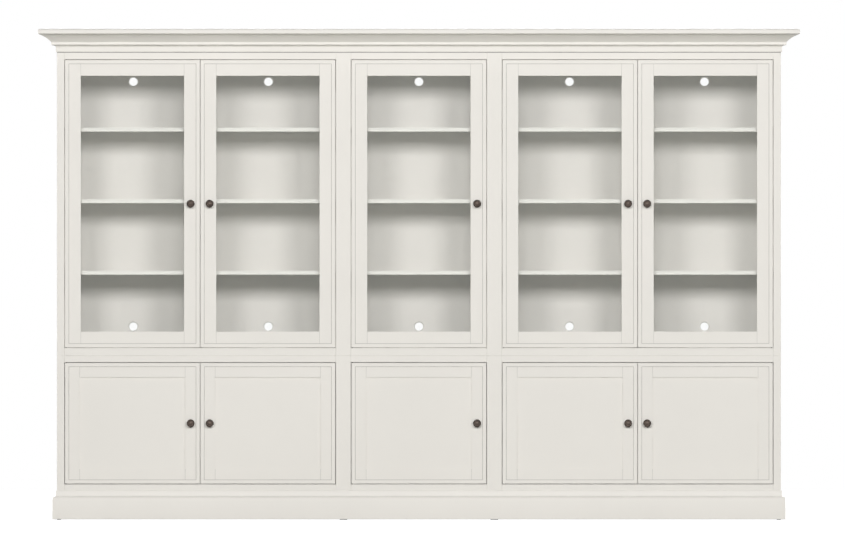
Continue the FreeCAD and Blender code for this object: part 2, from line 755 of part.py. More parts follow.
os.makedirs("parts", exist_ok=True)
triangles = 0
for item in sub_parts:
    shape = Part.makeCompound([solid.copy() for solid in item.Shape.Solids])
    if shape.isNull() or not shape.Solids or not shape.isValid():
        raise RuntimeError("%s has no valid solid" % item.Label)
    shape.exportStep("parts/%s.step" % item.Label)
    triangles += len(shape.tessellate(0.3)[1])
    print("%-32s solids %3d  volume %12.0f mm3" % (item.Label, len(shape.Solids), shape.Volume))
whole = Part.makeCompound([item.Shape for item in sub_parts])
box = whole.BoundBox
print("nodes %d, triangles about %d" % (len(sub_parts), triangles))
print("box %.1f x %.1f x %.1f mm, lowest %.1f" % (box.XLength, box.YLength, box.ZLength, box.ZMin))
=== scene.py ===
# %% [markdown]
# A painted display unit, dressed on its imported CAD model.
#
# The unit is three bookcases side by side: two doubles with a single between them. Every upper door holds
# a pane of glass, every lower door a flat panel, and a crown moulding and a plinth run round three sides.
# The CAD model already holds each board at its real size, so this lesson adds what CAD leaves plain: the
# camera and the light, the paint, the glass, the metal and the small turned and rounded forms.

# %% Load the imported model
import json
import math

import bmesh
import bpy
import numpy as np
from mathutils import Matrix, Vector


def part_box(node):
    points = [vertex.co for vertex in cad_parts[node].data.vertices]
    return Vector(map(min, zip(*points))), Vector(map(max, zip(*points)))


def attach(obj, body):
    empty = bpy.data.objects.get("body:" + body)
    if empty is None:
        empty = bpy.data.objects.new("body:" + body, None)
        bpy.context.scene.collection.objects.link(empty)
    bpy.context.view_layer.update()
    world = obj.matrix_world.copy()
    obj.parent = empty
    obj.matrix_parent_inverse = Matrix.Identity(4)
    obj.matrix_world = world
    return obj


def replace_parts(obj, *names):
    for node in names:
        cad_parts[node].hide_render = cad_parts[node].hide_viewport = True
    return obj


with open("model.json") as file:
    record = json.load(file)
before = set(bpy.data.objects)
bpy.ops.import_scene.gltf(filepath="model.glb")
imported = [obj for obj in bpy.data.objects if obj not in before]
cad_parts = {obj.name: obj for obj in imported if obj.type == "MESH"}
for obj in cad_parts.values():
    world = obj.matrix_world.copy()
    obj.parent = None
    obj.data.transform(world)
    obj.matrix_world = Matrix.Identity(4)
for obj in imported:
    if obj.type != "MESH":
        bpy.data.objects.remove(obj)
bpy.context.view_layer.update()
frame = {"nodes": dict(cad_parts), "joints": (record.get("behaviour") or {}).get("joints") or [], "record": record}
nodes = frame["nodes"]

# %% [markdown]
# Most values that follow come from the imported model: a door's edges are the box of its frame, and its
# hinge side is where its joint stands. Only small things that the model doesn't hold have sizes here.

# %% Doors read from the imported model
MM = 0.001


class Door:
    """One door: its body's name, its box and the side that it hangs on."""

    def __init__(self, joint):
        self.body = joint["child"]
        self.low, self.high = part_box(self.body + "_frame")
        middle = (self.low[0] + self.high[0]) / 2
        self.hangs_left = joint["pos_m"][0] < middle
        self.centre = ((self.low[0] + self.high[0]) / 2, (self.low[2] + self.high[2]) / 2)


doors = [Door(joint) for joint in frame["joints"]]
front = min(door.low[1] for door in doors)
print("doors:", len(doors), "front plane at", round(front, 4))

# %% [markdown]
# The camera. The photograph was taken square on from far away: the left and right sides of the unit look
# alike and no board shows its side. A very long lens at a great distance gives that flat view and still
# keeps a true perspective camera. The lens sees a strip of known width on the door fronts, so its distance
# follows from the picture's width in pixels and the size of one pixel on the object.

# %% Camera
PICTURE_WIDTH = 845
PICTURE_HEIGHT = 550
PIXEL_SIZE = 4.655 * MM
UNIT_MIDDLE_PIXEL = 418.9
FLOOR_PIXEL = 519.8
LENS = 1100
SENSOR = 36

seen_width = PICTURE_WIDTH * PIXEL_SIZE
camera_distance = seen_width * LENS / SENSOR
camera_data = bpy.data.cameras.new("long_lens")
camera_data.lens = LENS
camera_data.sensor_width = SENSOR
camera_data.clip_end = 4 * camera_distance
camera = bpy.data.objects.new("camera", camera_data)
camera.location = (
    (PICTURE_WIDTH / 2 - UNIT_MIDDLE_PIXEL) * PIXEL_SIZE,
    front - camera_distance,
    (FLOOR_PIXEL - PICTURE_HEIGHT / 2) * PIXEL_SIZE,
)
camera.rotation_euler = (math.pi / 2, 0, 0)
bpy.context.scene.collection.objects.link(camera)
bpy.context.scene.camera = camera
bpy.context.scene.view_settings.view_transform = "Standard"
print("camera stands %.1f m away" % camera_distance)

# %% [markdown]
# Light. In the photograph each shelf throws a band of shade on the back panel under it, deeper from shelf to
# shelf downwards, and each back has a bright middle with a duller strip on either side. Lamps explain both.
# Three soft boxes at one height, left, right and straight ahead, shade the bands together, and each side
# strip loses only the box on its own side. Three more light the back and the sides without reaching the
# front. A lamp of P watts at distance D gives a white wall facing it a brightness of P / (pi D)^2, so each
# lamp is written as the share of white that it adds.

# %% Lamps
AIM = (0.0, front, 1.15)


def soft_box(name, turn, rise, size, share):
    """A white rectangular lamp seen from the unit at that turn (degrees to the right) and rise."""
    lamp = bpy.data.lights.new(name, "AREA")
    lamp.shape = "RECTANGLE"
    lamp.size, lamp.size_y = size
    lamp.energy = share * (math.pi * BOX_DISTANCE) ** 2
    item = bpy.data.objects.new(name, lamp)
    across, up = math.radians(turn), math.radians(rise)
    item.location = (
        AIM[0] + BOX_DISTANCE * math.cos(up) * math.sin(across),
        AIM[1] - BOX_DISTANCE * math.cos(up) * math.cos(across),
        AIM[2] + BOX_DISTANCE * math.sin(up),
    )
    item.rotation_euler = (math.pi / 2 - up, 0, across)
    bpy.context.scene.collection.objects.link(item)


LEFT_SHARE = 0.29
RIGHT_SHARE = 0.34
CENTRE_SHARE = 0.225
BEHIND_SHARE = 0.55
BESIDE_SHARE = 0.4
BOX_DISTANCE = 18.0
KEY_TURN = 20
KEY_RISE = 14
BEHIND_RISE = 20
BESIDE_RISE = 15
BESIDE_TURN = 102
KEY_SIZE = (4.2, 3.3)
FILL_SIZE = (8.0, 6.0)
soft_box("left_box", -KEY_TURN, KEY_RISE, KEY_SIZE, LEFT_SHARE)
soft_box("right_box", KEY_TURN, KEY_RISE, KEY_SIZE, RIGHT_SHARE)
soft_box("centre_box", 0, KEY_RISE, KEY_SIZE, CENTRE_SHARE)
soft_box("box_behind", 180, BEHIND_RISE, FILL_SIZE, BEHIND_SHARE)
soft_box("box_beside_left", -BESIDE_TURN, BESIDE_RISE, FILL_SIZE, BESIDE_SHARE)
soft_box("box_beside_right", BESIDE_TURN, BESIDE_RISE, FILL_SIZE, BESIDE_SHARE)

# %% [markdown]
# Surroundings. The picture's background is plain white, but a white sky at full strength would wash out
# every shadow. The sky therefore answers camera, mirror and glass rays with white and lights the unit with
# a weaker grey. The floor does the same, and keeps enough of its own diffuse answer to show the shadow.

# %% Sky and floor
SKY_FILL = 0.03
FLOOR_SHARE = 0.7
FLOOR_GLOW = 0.9
FLOOR_BOUNCE = (0.5, 0.5, 0.46)
FLOOR_REACH = 16.0


def seen_directly(tree):
    """1 on rays that come straight from the camera or through a mirror or a pane, else 0."""
    path = tree.nodes.new("ShaderNodeLightPath")
    total = path.outputs["Is Camera Ray"]
    for kind in ("Is Glossy Ray", "Is Transmission Ray"):
        add = tree.nodes.new("ShaderNodeMath")
        add.operation = "ADD"
        add.use_clamp = True
        tree.links.new(total, add.inputs[0])
        tree.links.new(path.outputs[kind], add.inputs[1])
        total = add.outputs[0]
    return total


world = bpy.data.worlds.new("studio")
world.use_nodes = True
bpy.context.scene.world = world
tree = world.node_tree
tree.nodes.clear()
fill, shown = (tree.nodes.new("ShaderNodeBackground") for _ in range(2))
fill.inputs["Strength"].default_value = SKY_FILL
fill.inputs["Color"].default_value = (1, 1, 1, 1)
shown.inputs["Color"].default_value = (1, 1, 1, 1)
mix = tree.nodes.new("ShaderNodeMixShader")
out = tree.nodes.new("ShaderNodeOutputWorld")
tree.links.new(seen_directly(tree), mix.inputs[0])
tree.links.new(fill.outputs[0], mix.inputs[1])
tree.links.new(shown.outputs[0], mix.inputs[2])
tree.links.new(mix.outputs[0], out.inputs[0])

floor_mesh = bpy.data.meshes.new("floor")
reach = FLOOR_REACH
floor_mesh.from_pydata([(-reach, -reach, 0), (reach, -reach, 0), (reach, reach, 0), (-reach, reach, 0)],
                       [], [(0, 1, 2, 3)])
floor = bpy.data.objects.new("floor", floor_mesh)
bpy.context.scene.collection.objects.link(floor)
paper = bpy.data.materials.new("white_floor")
paper.use_nodes = True
tree = paper.node_tree
tree.nodes.clear()
matt = tree.nodes.new("ShaderNodeBsdfDiffuse")
matt.inputs["Color"].default_value = (0.9, 0.9, 0.9, 1)
bounce = tree.nodes.new("ShaderNodeBsdfDiffuse")
bounce.inputs["Color"].default_value = (*FLOOR_BOUNCE, 1)
glow = tree.nodes.new("ShaderNodeEmission")
glow.inputs["Strength"].default_value = FLOOR_GLOW
half = tree.nodes.new("ShaderNodeMixShader")
half.inputs[0].default_value = FLOOR_SHARE
both = tree.nodes.new("ShaderNodeAddShader")
dark = tree.nodes.new("ShaderNodeEmission")
dark.inputs["Strength"].default_value = 0
mix = tree.nodes.new("ShaderNodeMixShader")
out = tree.nodes.new("ShaderNodeOutputMaterial")
tree.links.new(matt.outputs[0], half.inputs[1])
tree.links.new(dark.outputs[0], half.inputs[2])
tree.links.new(half.outputs[0], both.inputs[0])
tree.links.new(glow.outputs[0], both.inputs[1])
tree.links.new(seen_directly(tree), mix.inputs[0])
tree.links.new(bounce.outputs[0], mix.inputs[1])
tree.links.new(both.outputs[0], mix.inputs[2])
tree.links.new(mix.outputs[0], out.inputs[0])
floor_mesh.materials.append(paper)

# %% [markdown]
# Shader groups. Sprayed paint, bronze, steel and plastic all need the same thing: a value that wanders slowly
# over the surface, from a little under 1 up to 1, and a fine height for bump. One group gives both from the
# object's own coordinates, so that it never slides when a door swings.

# %% Group: uneven surface
def new_group(name, sockets_in, sockets_out):
    """A shader node group with named inputs (name, kind, value) and outputs (name, kind)."""
    group = bpy.data.node_groups.new(name, "ShaderNodeTree")
    for label, kind, value in sockets_in:
        socket = group.interface.new_socket(label, in_out="INPUT", socket_type=kind)
        socket.default_value = value
    for label, kind in sockets_out:
        group.interface.new_socket(label, in_out="OUTPUT", socket_type=kind)
    return group, group.nodes.new("NodeGroupInput"), group.nodes.new("NodeGroupOutput")


uneven, given, result = new_group(
    "uneven_surface",
    (("Patch Scale", "NodeSocketFloat", 2.0), ("Patch Depth", "NodeSocketFloat", 0.02),
     ("Grain Scale", "NodeSocketFloat", 900.0)),
    (("Shade", "NodeSocketFloat"), ("Height", "NodeSocketFloat")),
)
place = uneven.nodes.new("ShaderNodeTexCoord")
patches = uneven.nodes.new("ShaderNodeTexNoise")
patches.inputs["Detail"].default_value = 3
grain = uneven.nodes.new("ShaderNodeTexNoise")
grain.inputs["Detail"].default_value = 2
spread = uneven.nodes.new("ShaderNodeMapRange")
spread.inputs["From Min"].default_value = 0.3
spread.inputs["From Max"].default_value = 0.7
least = uneven.nodes.new("ShaderNodeMath")
least.operation = "SUBTRACT"
least.inputs[0].default_value = 1.0
uneven.links.new(place.outputs["Object"], patches.inputs["Vector"])
uneven.links.new(place.outputs["Object"], grain.inputs["Vector"])
uneven.links.new(given.outputs["Patch Scale"], patches.inputs["Scale"])
uneven.links.new(given.outputs["Grain Scale"], grain.inputs["Scale"])
uneven.links.new(given.outputs["Patch Depth"], least.inputs[1])
uneven.links.new(patches.outputs[0], spread.inputs["Value"])
uneven.links.new(least.outputs[0], spread.inputs["To Min"])
uneven.links.new(spread.outputs[0], result.inputs["Shade"])
uneven.links.new(grain.outputs[0], result.inputs["Height"])

# %% [markdown]
# The paint is a satin off-white, slightly warm. Sprayed and rubbed paint isn't one flat colour: it wanders
# by a percent or two over a board and has a fine skin that breaks up its gloss. Both come from the group.

# %% Materials
PAINT = (0.775, 0.749, 0.706)
PAINT_ROUGHNESS = 0.42
PAINT_SPECULAR = 0.35


def new_material(name, colour, roughness, metallic=0.0):
    """A material with one Principled shader; gives back the material, its tree and that shader."""
    material = bpy.data.materials.new(name)
    material.use_nodes = True
    shader = material.node_tree.nodes["Principled BSDF"]
    shader.inputs["Base Color"].default_value = (*colour, 1)
    shader.inputs["Roughness"].default_value = roughness
    shader.inputs["Metallic"].default_value = metallic
    return material, material.node_tree, shader


def with_shade(tree, shader, shade):
    """Multiply what colours the shader, a plain colour or a node, by a shade."""
    base = shader.inputs["Base Color"]
    tint = tree.nodes.new("ShaderNodeMix")
    tint.data_type = "RGBA"
    tint.blend_type = "MULTIPLY"
    tint.inputs[0].default_value = 1.0
    if base.is_linked:
        tree.links.new(base.links[0].from_socket, tint.inputs[6])
    else:
        tint.inputs[6].default_value = base.default_value[:]
    tree.links.new(shade, tint.inputs[7])
    tree.links.new(tint.outputs[2], base)


def wander(tree, shader, patch_scale, patch_depth, grain_scale, bump, bump_depth):
    """Multiply the colour by the group's shade and bend the normals by its height."""
    group = tree.nodes.new("ShaderNodeGroup")
    group.node_tree = uneven
    group.inputs["Patch Scale"].default_value = patch_scale
    group.inputs["Patch Depth"].default_value = patch_depth
    group.inputs["Grain Scale"].default_value = grain_scale
    with_shade(tree, shader, group.outputs["Shade"])
    height = tree.nodes.new("ShaderNodeBump")
    height.inputs["Strength"].default_value = bump
    height.inputs["Distance"].default_value = bump_depth
    tree.links.new(group.outputs["Height"], height.inputs["Height"])
    tree.links.new(height.outputs[0], shader.inputs["Normal"])


def white_coat(name):
    """The satin paint under a name of its own; gives back the material, its tree and its shader."""
    material, tree, shader = new_material(name, PAINT, PAINT_ROUGHNESS)
    shader.inputs["Specular IOR Level"].default_value = PAINT_SPECULAR
    wander(tree, shader, 2.2, 0.025, 700.0, 0.25, 0.0002)
    return material, tree, shader


paint = white_coat("white_paint")[0]
print("paint:", paint.name)

# %% [markdown]
# Painted shade lines. Shade falls in the crease where the raised lip of a door meets its frame and in the
# shallow V where a stile meets a rail, and both show as fine grey lines. They are under a pixel wide, so that
# shade is painted into the paint's colour, over the real step of the lip and the eased edges. A point's distance
# from the nearest edge of its door is min(W/2 - |x - centre|, H/2 - |z - middle|). The doors are symmetrical
# about the unit's middle, so |x| and three centres serve all five. A painted shade line is where that distance
# passes the lip's width, or where the distance from the side passes the stile's.

# %% Group: painted shade lines of a door
MARGINS = ("Half Width", "Half Height", "Middle Height", "Centre 1", "Centre 2", "Centre 3", "Lip", "Stile")
LIP = 18 * MM
UPPER_STILE = 73.5 * MM
LOWER_STILE = 68.5 * MM
# How dark the painted shade is at the lip's foot and at the stile-rail joints, and over what distance it fades.
LIP_SHADE = 0.42
LIP_SHADE_REACH = (0.4 * MM, 1.6 * MM)
JOINT_SHADE = 0.30
JOINT_SHADE_REACH = (0.2 * MM, 1.2 * MM)


def calc(tree, operation, first, second=None):
    """A Math node of two sockets or numbers; gives back its output."""
    step = tree.nodes.new("ShaderNodeMath")
    step.operation = operation
    for slot_number, value in enumerate((first, second)):
        if isinstance(value, (int, float)):
            step.inputs[slot_number].default_value = value
        elif value is not None:
            tree.links.new(value, step.inputs[slot_number])
    return step.outputs[0]


def line_at(tree, distance, near, far):
    """1 where the distance is under near, falling smoothly to 0 at far."""
    fade = tree.nodes.new("ShaderNodeMapRange")
    fade.interpolation_type = "SMOOTHSTEP"
    for label, value in (("From Min", near), ("From Max", far), ("To Min", 1), ("To Max", 0)):
        fade.inputs[label].default_value = value
    tree.links.new(calc(tree, "ABSOLUTE", distance), fade.inputs["Value"])
    return fade.outputs[0]


seam_shade, given, result = new_group(
    "door_seam_shade",
    tuple((label, "NodeSocketFloat", 0.0) for label in MARGINS),
    (("Shade", "NodeSocketFloat"),),
)
place = seam_shade.nodes.new("ShaderNodeTexCoord")
parts = seam_shade.nodes.new("ShaderNodeSeparateXYZ")
seam_shade.links.new(place.outputs["Object"], parts.inputs[0])
across = calc(seam_shade, "ABSOLUTE", parts.outputs["X"])
gaps = [calc(seam_shade, "ABSOLUTE", calc(seam_shade, "SUBTRACT", across, given.outputs["Centre %d" % number]))
        for number in (1, 2, 3)]
from_side = calc(seam_shade, "SUBTRACT", given.outputs["Half Width"],
                 calc(seam_shade, "MINIMUM", gaps[0], calc(seam_shade, "MINIMUM", gaps[1], gaps[2])))
from_end = calc(seam_shade, "SUBTRACT", given.outputs["Half Height"],
                calc(seam_shade, "ABSOLUTE", calc(seam_shade, "SUBTRACT", parts.outputs["Z"],
                                             given.outputs["Middle Height"])))
from_edge = calc(seam_shade, "MINIMUM", from_side, from_end)
# Painted shade: the colour darkens along the lip's foot and the stile-rail joints, where shade falls in the
# crease.
lip_shade_line = line_at(seam_shade, calc(seam_shade, "SUBTRACT", from_edge, given.outputs["Lip"]), *LIP_SHADE_REACH)
joint_shade_line = line_at(seam_shade, calc(seam_shade, "SUBTRACT", from_side, given.outputs["Stile"]), *JOINT_SHADE_REACH)
in_rail = calc(seam_shade, "MULTIPLY", calc(seam_shade, "LESS_THAN", from_end, given.outputs["Stile"]),
               calc(seam_shade, "GREATER_THAN", from_end, given.outputs["Lip"]))
joint_shade_line = calc(seam_shade, "MULTIPLY", joint_shade_line, in_rail)
dark = calc(seam_shade, "ADD", calc(seam_shade, "MULTIPLY", lip_shade_line, LIP_SHADE),
            calc(seam_shade, "MULTIPLY", joint_shade_line, JOINT_SHADE))
seam_shade.links.new(calc(seam_shade, "SUBTRACT", 1.0, dark), result.inputs["Shade"])


def door_paint(name, row, stile):
    """The paint with the painted shade lines of a row of doors that share their size and height."""
    material, tree, shader = white_coat(name)
    centres = sorted({round(abs(door.centre[0]), 4) for door in row})
    low, high = row[0].low, row[0].high
    group = tree.nodes.new("ShaderNodeGroup")
    group.node_tree = seam_shade
    values = ((high[0] - low[0]) / 2, (high[2] - low[2]) / 2, row[0].centre[1], *centres, LIP, stile)
    for label, value in zip(MARGINS, values):
        group.inputs[label].default_value = value
    with_shade(tree, shader, group.outputs["Shade"])
    return material


upper_doors = [door for door in doors if door.body.startswith("upper")]
lower_doors = [door for door in doors if door.body.startswith("lower")]
upper_paint = door_paint("upper_door_paint", upper_doors, UPPER_STILE)
lower_paint = door_paint("lower_door_paint", lower_doors, LOWER_STILE)
print("doors above and below:", len(upper_doors), len(lower_doors))

# %% [markdown]
# The frieze. A dark line runs under the crown's foot, where the moulding is nailed over the frieze and leaves
# a thin gap. The shade in that gap is painted: a band darkened in the paint at the height of the crown's foot.

# %% Paint of the frieze, with painted shade under the crown's foot
# How dark the painted shade under the crown's foot is, and how far it reaches.
FOOT_SHADE = 0.6
FOOT_SHADE_REACH = (3.0 * MM, 5.0 * MM)
frieze_paint, tree, shader = white_coat("frieze_paint")
place = tree.nodes.new("ShaderNodeTexCoord")
parts = tree.nodes.new("ShaderNodeSeparateXYZ")
tree.links.new(place.outputs["Object"], parts.inputs[0])
crown_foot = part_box("crown_moulding")[0][2]
foot_shade_line = line_at(tree, calc(tree, "SUBTRACT", parts.outputs["Z"], crown_foot), *FOOT_SHADE_REACH)
with_shade(tree, shader, calc(tree, "SUBTRACT", 1.0, calc(tree, "MULTIPLY", foot_shade_line, FOOT_SHADE)))
print("crown foot at", round(crown_foot, 4))

# %% [markdown]
# Metals and plastics. The knobs are dark bronze, patchy from handling, so their shade wanders most. Hinges,
# plates and brackets are bare steel, and the catches are moulded plastic.

# %% Metals and plastics
BRONZE = (0.068, 0.051, 0.042)
bronze, tree, shader = new_material("dark_bronze", BRONZE, 0.38, 0.8)
wander(tree, shader, 60.0, 0.35, 1500.0, 0.4, 0.0002)

STEEL = (0.62, 0.62, 0.62)
steel, tree, shader = new_material("steel", STEEL, 0.32, 1.0)
wander(tree, shader, 40.0, 0.15, 1800.0, 0.3, 0.0001)

PLASTIC = (0.78, 0.77, 0.74)
plastic, tree, shader = new_material("white_plastic", PLASTIC, 0.5)
wander(tree, shader, 30.0, 0.03, 1200.0, 0.4, 0.0001)

BLACK = (0.03, 0.03, 0.03)
black, tree, shader = new_material("black_plastic", BLACK, 0.6)
wander(tree, shader, 30.0, 0.2, 1200.0, 0.5, 0.0002)

# %% [markdown]
# Window glass lets nearly all light through from the front and reflects more towards grazing angles. The
# pane is see-through by its alpha, which follows Fresnel's law, so lamps still light the shelves behind.

# %% Glass
GLASS = (0.75, 0.79, 0.77)
glass, tree, shader = new_material("clear_glass", GLASS, 0.03)
bend = tree.nodes.new("ShaderNodeFresnel")
bend.inputs["IOR"].default_value = 1.5
veil = tree.nodes.new("ShaderNodeMath")
veil.operation = "ADD"
veil.use_clamp = True
veil.inputs[1].default_value = 0.02
tree.links.new(bend.outputs[0], veil.inputs[0])
tree.links.new(veil.outputs[0], shader.inputs["Alpha"])

finishes = {"white_paint": paint, "dark_bronze": bronze, "steel": steel, "white_plastic": plastic,
            "black_plastic": black, "clear_glass": glass}
slot_of = {part["node"]: part["material_slot"] for part in frame["record"]["subparts"]}
for name, item in nodes.items():
    item.data.materials.clear()
    item.data.materials.append(finishes[slot_of[name]])
print("finished nodes:", len(nodes))

# %% [markdown]
# Eased edges. A joiner takes the sharp edge off every board with sandpaper, and paint rounds it further.
# That is what draws the fine lines in the photograph: where a stile meets a rail, two eased edges make a
# shallow V. A CAD node is loose triangles, so its copy is first put together solid by solid. Two triangles
# belong to one solid when they share an edge that no third triangle uses; boards that only touch share no
# such edge, so each stays whole. Flat neighbours are then dissolved, and a Bevel modifier eases the edges.

# %% Boards with eased edges
EASE = 1.1 * MM
EASE_STEPS = 2
SHARP_ANGLE = math.radians(35)
FLAT_ANGLE = math.radians(0.5)
EASED_NODES = ("hutch_face_frames", "base_face_frames", "hutch_side_panels", "base_side_panels",
               "hutch_top_panels", "hutch_bottom_panels", "hutch_shelves", "hutch_fixed_shelves",
               "crown_backing", "base_back_panels")


def turn_outwards(mesh):
    """Make every face of a closed mesh point out of it."""
    work = bmesh.new()
    work.from_mesh(mesh)
    bmesh.ops.recalc_face_normals(work, faces=work.faces)
    work.to_mesh(mesh)
    work.free()


def add_piece(name, mesh, material, body):
    """An object for the mesh, smooth except at its corners, riding on a body."""
    mesh.materials.append(material)
    mesh.shade_smooth()
    mesh.set_sharp_from_angle(angle=SHARP_ANGLE)
    item = bpy.data.objects.new(name, mesh)
    bpy.context.scene.collection.objects.link(item)
    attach(item, body)
    return item


def solids_of(mesh):
    """The mesh's triangles as corner points, and the number of the solid that each belongs to."""
    mesh.calc_loop_triangles()
    spots = np.array([vertex.co for vertex in mesh.vertices])
    triangles = np.array([triangle.vertices for triangle in mesh.loop_triangles])
    unique, same = np.unique(np.round(spots, 6), axis=0, return_inverse=True)
    triangles = same.reshape(-1)[triangles]
    triangles = triangles[(triangles[:, 0] != triangles[:, 1]) & (triangles[:, 1] != triangles[:, 2])
                          & (triangles[:, 2] != triangles[:, 0])]
    users = {}
    for number, corners in enumerate(triangles.tolist()):
        for first, second in zip(corners, corners[1:] + corners[:1]):
            users.setdefault((min(first, second), max(first, second)), []).append(number)
    owner = list(range(len(triangles)))

    def root_of(number):
        while owner[number] != number:
            owner[number] = owner[owner[number]]
            number = owner[number]
        return number

    for sharing in users.values():
        if len(sharing) == 2:
            owner[root_of(sharing[0])] = root_of(sharing[1])
    return unique, triangles, np.array([root_of(number) for number in range(len(triangles))])


def eased_copy(name, material, body="root"):
    """A piece that stands in for a CAD node: its solids made whole, with eased edges."""
    unique, triangles, solid = solids_of(nodes[name].data)
    work = bmesh.new()
    for number in np.unique(solid):
        mine = triangles[solid == number]
        corners, local = np.unique(mine, return_inverse=True)
        made = [work.verts.new(unique[corner]) for corner in corners]
        for face in local.reshape(-1, 3):
            work.faces.new([made[corner] for corner in face])
    bmesh.ops.dissolve_limit(work, angle_limit=FLAT_ANGLE, verts=work.verts, edges=work.edges)
    mesh = bpy.data.meshes.new(name + "_eased")
    work.to_mesh(mesh)
    work.free()
    item = add_piece(name + "_eased", mesh, material, body)
    bevel = item.modifiers.new("ease", "BEVEL")
    bevel.width = EASE
    bevel.segments = EASE_STEPS
    bevel.limit_method = "ANGLE"
    bevel.angle_limit = SHARP_ANGLE
    bevel.harden_normals = True
    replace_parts(item, name)


for name in EASED_NODES:
    eased_copy(name, frieze_paint if name == "hutch_face_frames" else paint)
for row, coat in ((upper_doors, upper_paint), (lower_doors, lower_paint)):
    for door in row:
        eased_copy(door.body + "_frame", coat, door.body)
print("eased pieces:", len(EASED_NODES) + len(doors))

# %% [markdown]
# Hutch backs. Each panel has two cable holes whose front edge is bevelled, and the bevel shows as a darker
# ring. A panel is two cells, one to a hole. In a cell every ray from the hole's middle runs from the circle
# to the cell's rectangle: with u = (cos a, sin a) it meets the rectangle at u times the least of
# (limit - middle) / u over both axes. Five rings of such points, closed on themselves, make a solid. The
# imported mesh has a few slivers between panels, which hold no hole and are passed over.

# %% Back panels with cable holes
HOLE_BEVEL = 4 * MM
HOLE_BEVEL_DEPTH = 7.5 * MM


def cell(middle, radius, low, high, near, far, rays=48):
    """Points and faces of a panel from low to high (across, up) with one bevelled hole."""
    corners = [math.atan2(z - middle[1], x - middle[0])
               for x in (low[0], high[0]) for z in (low[1], high[1])]
    angle = np.sort(np.concatenate([np.linspace(-math.pi, math.pi, rays, endpoint=False), corners]))
    ray = np.stack([np.cos(angle), np.sin(angle)], axis=-1)
    limit = np.where(ray > 0, np.asarray(high) - middle, np.asarray(low) - middle)
    with np.errstate(divide="ignore"):
        reach = np.min(np.where(np.abs(ray) > 1e-9, limit / ray, np.inf), axis=1)
    rings = ((radius, far), (radius, near + HOLE_BEVEL_DEPTH), (radius + HOLE_BEVEL, near),
             (reach, near), (reach, far))
    points = []
    for size, depth in rings:
        flat = np.asarray(middle) + ray * np.reshape(size, (-1, 1) if np.ndim(size) else ())
        points.append(np.stack([flat[:, 0], np.full(len(angle), depth), flat[:, 1]], axis=-1))
    count = len(angle)
    faces = [(ring * count + k, ring * count + (k + 1) % count,
              (ring + 1) % len(rings) * count + (k + 1) % count, (ring + 1) % len(rings) * count + k)
             for ring in range(len(rings)) for k in range(count)]
    return np.concatenate(points), faces


holes = [mount for mount in frame["record"]["mounts"] if mount["name"].startswith("cable_hole")]
unique, triangles, solid = solids_of(nodes["hutch_back_panels"].data)
all_points, all_faces, total = [], [], 0
for number in np.unique(solid):
    corners = unique[np.unique(triangles[solid == number])]
    low, high = corners.min(axis=0), corners.max(axis=0)
    mine = sorted((hole for hole in holes if low[0] < hole["pos_m"][0] < high[0]),
                  key=lambda hole: hole["pos_m"][2])
    if len(mine) != 2:
        continue
    split = (mine[0]["pos_m"][2] + mine[1]["pos_m"][2]) / 2
    for hole, foot, top in ((mine[0], low[2], split), (mine[1], split, high[2])):
        middle = (hole["pos_m"][0], hole["pos_m"][2])
        radius = hole["dims"]["r_mm"] * MM
        points, faces = cell(middle, radius, (low[0], foot), (high[0], top), low[1], high[1])
        all_points.append(points)
        all_faces += [tuple(total + corner for corner in face) for face in faces]
        total += len(points)
mesh = bpy.data.meshes.new("hutch_backs_with_holes")
mesh.from_pydata(np.concatenate(all_points).tolist(), [], all_faces)
turn_outwards(mesh)
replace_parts(add_piece("hutch_backs_with_holes", mesh, paint, "root"), "hutch_back_panels")
print("cells of the back panels:", len(all_points), "holes:", len(holes))

# %% [markdown]
# Crown and plinth. A moulding is a profile carried along a path. Here the path runs up one side, across the
# front and down the other side, and a profile point that stands out by p meets each corner at p beyond it
# both ways, which makes the mitre. The profiles follow the CAD ones, round the crown's nose and the plinth's
# shoulder outwards, and add fine quirks, under two millimetres deep, that draw the dark lines between the
# crown's members.

# %% Crown and plinth mouldings
QUIRK = 0.8


def arc(start, end, bow, steps=10):
    """Points from start towards end on a circle arc that bows by that share of the chord, to its left."""
    start, end = np.asarray(start, float), np.asarray(end, float)
    chord = end - start
    length = np.hypot(*chord)
    side = np.array([-chord[1], chord[0]]) / length
    sagitta = abs(bow) * length
    radius = (length ** 2 / 4 + sagitta ** 2) / (2 * sagitta)
    half = math.asin(min(1.0, length / (2 * radius)))
    turn = np.linspace(-half, half, steps + 1)
    along = 0.5 + np.sin(turn) * radius / length
    lift = (np.cos(turn) - math.cos(half)) * radius * math.copysign(1, bow)
    return [tuple(point) for point in (start + np.outer(along, chord) + np.outer(lift, side))[:-1]]


def quirk(across, height):
    """A square groove cut towards the wall at that height, in a face that stands at that projection."""
    return [(across, height), (across - 2 * QUIRK, height), (across - 2 * QUIRK, height + QUIRK),
            (across, height + QUIRK)]


def moulding(name, node, profile, foot, body_low, body_high):
    """Sweep (projection, height) in mm round the left side, the front and the right side."""
    profile = np.asarray(profile, float) * MM
    out, up = profile[:, 0], foot + profile[:, 1]
    same = np.ones_like(out)
    corners = ((body_low[0] - out, same * body_high[1]), (body_low[0] - out, body_low[1] - out),
               (body_high[0] + out, body_low[1] - out), (body_high[0] + out, same * body_high[1]))
    points = np.stack([np.stack([x, y, up], axis=-1) for x, y in corners]).reshape(-1, 3)
    count = len(profile)
    faces = [(row * count + k, row * count + (k + 1) % count,
              (row + 1) * count + (k + 1) % count, (row + 1) * count + k)
             for row in range(3) for k in range(count)]
    faces += [tuple(range(count))[::-1], tuple(range(3 * count, 4 * count))]
    mesh = bpy.data.meshes.new(name)
    mesh.from_pydata(points.tolist(), [], faces)
    turn_outwards(mesh)
    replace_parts(add_piece(name, mesh, paint, "root"), node)


